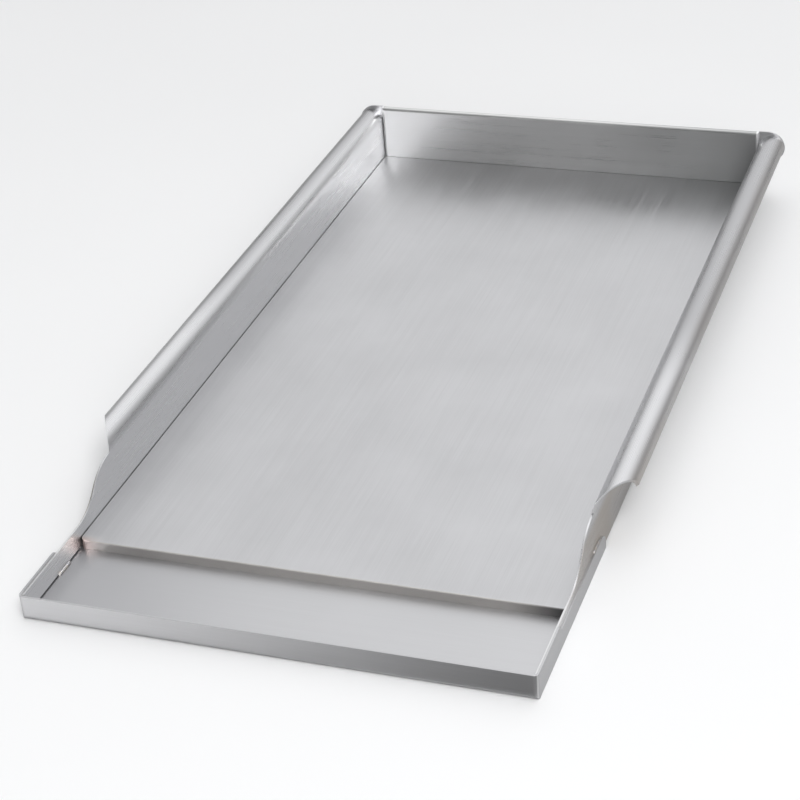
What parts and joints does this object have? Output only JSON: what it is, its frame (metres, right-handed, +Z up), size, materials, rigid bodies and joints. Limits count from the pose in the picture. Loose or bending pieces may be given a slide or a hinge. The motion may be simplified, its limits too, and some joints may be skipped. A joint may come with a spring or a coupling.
{
  "type": "griddle top",
  "caption": "Drop-on flat top griddle: a thick steel cooking plate between rolled side rails, with a rear splash wall and a fixed grease trough along the front",
  "frame": {"origin": "middle of the footprint, on the surface that the griddle rests on", "axes": "+X to the right seen from the trough, +Y from the trough to the rear wall, +Z up"},
  "size_m": [0.345, 0.6368, 0.0501],
  "materials": {
    "plate_steel": "fine brushed stainless plate",
    "sheet_steel": "satin stainless sheet",
    "weld_metal": "bare weld bead"
  },
  "bodies": {
    "root": {"griddle_plate": "plate_steel", "left_side_wall": "sheet_steel", "right_side_wall": "sheet_steel", "rear_wall": "sheet_steel", "grease_trough": "sheet_steel", "left_rail_end_cap": "sheet_steel", "right_rail_end_cap": "sheet_steel", "side_stitch_welds": "weld_metal", "rear_flange_welds": "weld_metal", "trough_floor_welds": "weld_metal", "rear_corner_welds": "weld_metal", "trough_tack_welds": "weld_metal", "trough_flange_welds": "weld_metal"}
  },
  "joints": []
}
